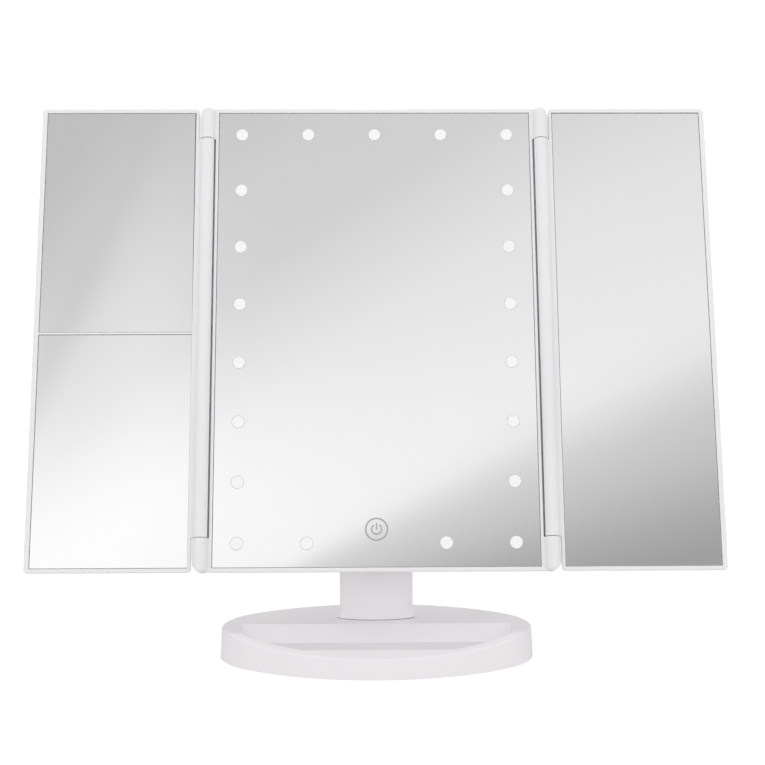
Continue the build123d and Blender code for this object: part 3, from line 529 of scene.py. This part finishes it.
# How far a pane's corners lie from those of its node, in mm, anticlockwise from the lower left one.
SQUARE = [(0, 0)] * 4
LEFT_UPPER_SHIFTS = [(0, 0), (0.15, 0), (-0.45, 0), (0, 0)]
LEFT_LOWER_SHIFTS = [(0, 0), (0.15, 0), (0.15, 0), (0, 0)]
RIGHT_SHIFTS = [(0, 0), (0, 0), (0, -0.15), (0, -0.15)]


def window_spots():
    """Centre and radius of each frosted light window."""
    spots = []
    for island in islands("led_windows"):
        low, high = corners(island)
        spots.append(((low + high) / 2, (high.x - low.x) / 2))
    return spots


WINDOWS = window_spots()


def pane(name, node, body, shifts, holes=()):
    """Pane with ground edges."""
    low, high = local_box(node)
    places = [(low.x, low.y), (high.x, low.y), (high.x, high.y), (low.x, high.y)]
    outline = [Vector(p) + Vector(s) * MM for p, s in zip(places, shifts)]
    work = bmesh.new()
    plate(work, [outline, *holes], high.z, low.z, PANE_ARRIS)
    add_piece(name, work, body, "mirror_glass", node)


def make_panes():
    holes = [circle(middle, radius + WINDOW_SLIT, HOLE_STEPS) for middle, radius in WINDOWS]
    pane("pane_center", "center_mirror", "head", SQUARE, holes)
    pane("pane_left_upper", "left_upper_mirror", "left_wing", LEFT_UPPER_SHIFTS)
    pane("pane_left_lower", "left_lower_mirror", "left_wing", LEFT_LOWER_SHIFTS)
    pane("pane_right", "right_mirror", "right_wing", RIGHT_SHIFTS)


# ---------------------------------------------------------------- light windows, touch key
WINDOW_ARRIS = 0.12 * MM
TOUCH_LINE = 0.8 * MM
TOUCH_STEPS = 72
SIGN_RADIUS = 2.45 * MM
SIGN_LINE = 0.72 * MM
SIGN_GAP = radians(40)              # half of the opening at the top of the sign
SIGN_STEPS = 40
SIGN_BAR = (0.1 * MM, 2.75 * MM)    # both ends of the bar, above the middle


def make_windows():
    """Frosted discs, each with a fine ground rim."""
    low, high = local_box("led_windows")
    work = bmesh.new()
    for middle, radius in WINDOWS:
        plate(work, [circle(middle, radius, HOLE_STEPS)], high.z, low.z, WINDOW_ARRIS)
    add_piece("light_windows", work, "head", "frosted_window", "led_windows")


def make_touch_print():
    """Ring and on-off sign with rounded line ends, printed on the pane."""
    low, high = local_box("touch_mark")
    middle = Vector(((low.x + high.x) / 2, (low.y + high.y) / 2))
    radius = (high.x - low.x) / 2
    ring = [circle(middle, r, TOUCH_STEPS) for r in (radius, radius - TOUCH_LINE)]
    turns = [SIGN_GAP + (2 * pi - 2 * SIGN_GAP) * i / SIGN_STEPS for i in range(SIGN_STEPS + 1)]
    arc = [middle + Vector((sin(t), cos(t))) * SIGN_RADIUS for t in turns]
    bar = [middle + Vector((0, y)) for y in SIGN_BAR]
    work = bmesh.new()
    for outlines in (ring, [stroke(arc, SIGN_LINE)], [stroke(bar, SIGN_LINE)]):
        plate(work, outlines, high.z, low.z)
    add_piece("touch_print", work, "head", "print_gray", "touch_mark")


# ---------------------------------------------------------------- marks on the back
MARK_LIFT = 0.06 * MM
MARK_SINK = 0.1 * MM
KNOB_PROUD = 1.0 * MM               # knob above the back face
KNOB_TRAVEL = 3.0 * MM
LETTER_SIZE = 3.4 * MM
LETTERS_OFF = 8.2 * MM              # middle of the words from the middle of the slot
LETTERS_ON = 7.3 * MM
ARROW_HALF = 3.2 * MM
ARROW_TALL = 3.6 * MM
ARROW_PLACE = 23.0 * MM             # above the lower edge of the door
GRIP_PROUD = 0.5 * MM               # grip lines above the door


def letters(work, text, x, y, face):
    """Printed word on a surface that faces backwards at depth face."""
    curve = bpy.data.curves.new(text, "FONT")
    curve.body = text
    curve.size = LETTER_SIZE
    curve.extrude = (MARK_LIFT + MARK_SINK) / 2
    curve.align_x = "CENTER"
    curve.align_y = "CENTER"
    carrier = bpy.data.objects.new(text, curve)
    mesh = bpy.data.meshes.new_from_object(carrier)
    depth = face - (MARK_LIFT - MARK_SINK) / 2
    mesh.transform(Matrix.Translation((x, y, depth)) @ Matrix.Rotation(pi, 4, "Y"))
    work.from_mesh(mesh)
    bpy.data.objects.remove(carrier)
    bpy.data.curves.remove(curve)
    bpy.data.meshes.remove(mesh)


def make_switch_marks():
    """OFF and ON at the two ends of the slide switch, whose knob rests at the off end."""
    low, high = local_box("power_switch_knob")
    x = (low.x + high.x) / 2 + KNOB_TRAVEL / 2
    y = (low.y + high.y) / 2
    face = low.z + KNOB_PROUD
    work = bmesh.new()
    letters(work, "OFF", x - LETTERS_OFF, y, face)
    letters(work, "ON", x + LETTERS_ON, y, face)
    add_piece("switch_marks", work, "head", "print_gray")


def make_door_arrow():
    """Arrow that shows which way the battery door slides open."""
    low, high = local_box("battery_door")
    x = (low.x + high.x) / 2
    tip, tail = (low.y + ARROW_PLACE + half * ARROW_TALL for half in (-0.5, 0.5))
    face = low.z + GRIP_PROUD
    outline = [Vector((x, tip)), Vector((x + ARROW_HALF, tail)), Vector((x - ARROW_HALF, tail))]
    work = bmesh.new()
    plate(work, [outline], face - MARK_LIFT, face + MARK_SINK)
    add_piece("door_arrow", work, "battery_door", "print_gray")


# ---------------------------------------------------------------- foot of the neck
# The dark ring under the neck's foot is a painted shadow, a dark sheet where the seam is only in shade.
SHADE_RING_TALL = 0.14 * MM
SHADE_RING_INSET = 0.12 * MM
SHADE_RING_OPEN = (0.9, 0.8)              # the ring's hole, as shares of its width and depth
SHADE_RING_STEPS = 96
FOOT_TALL = 0.6 * MM                # part of the neck that counts as its foot


def make_foot_shade_ring():
    """Thin dark ring between the neck's foot and the base, a little inside the edge of the foot: a painted
    shadow for the shade in the seam.
    """
    points = [vertex.co for vertex in frame["nodes"]["neck"].data.vertices]
    floor = min(p.z for p in points)
    low, high = corners([p for p in points if p.z < floor + FOOT_TALL])
    half_x, half_y = (high.x - low.x) / 2 - SHADE_RING_INSET, (high.y - low.y) / 2 - SHADE_RING_INSET
    middle = (low.y + high.y) / 2
    turns = [2 * pi * i / SHADE_RING_STEPS for i in range(SHADE_RING_STEPS)]
    oval = [Vector((half_x * cos(t), half_y * sin(t))) for t in turns]
    outlines = [[Vector((wide * p.x, middle + deep * p.y)) for p in oval] for wide, deep in ((1, 1), SHADE_RING_OPEN)]
    work = bmesh.new()
    plate(work, outlines, floor + SHADE_RING_TALL, floor)
    add_piece("foot_shade_ring", work, "stand", "sensor_foam", place=Matrix.Identity(4))


make_panes()
make_windows()
make_touch_print()
make_foot_shade_ring()
make_switch_marks()
make_door_arrow()
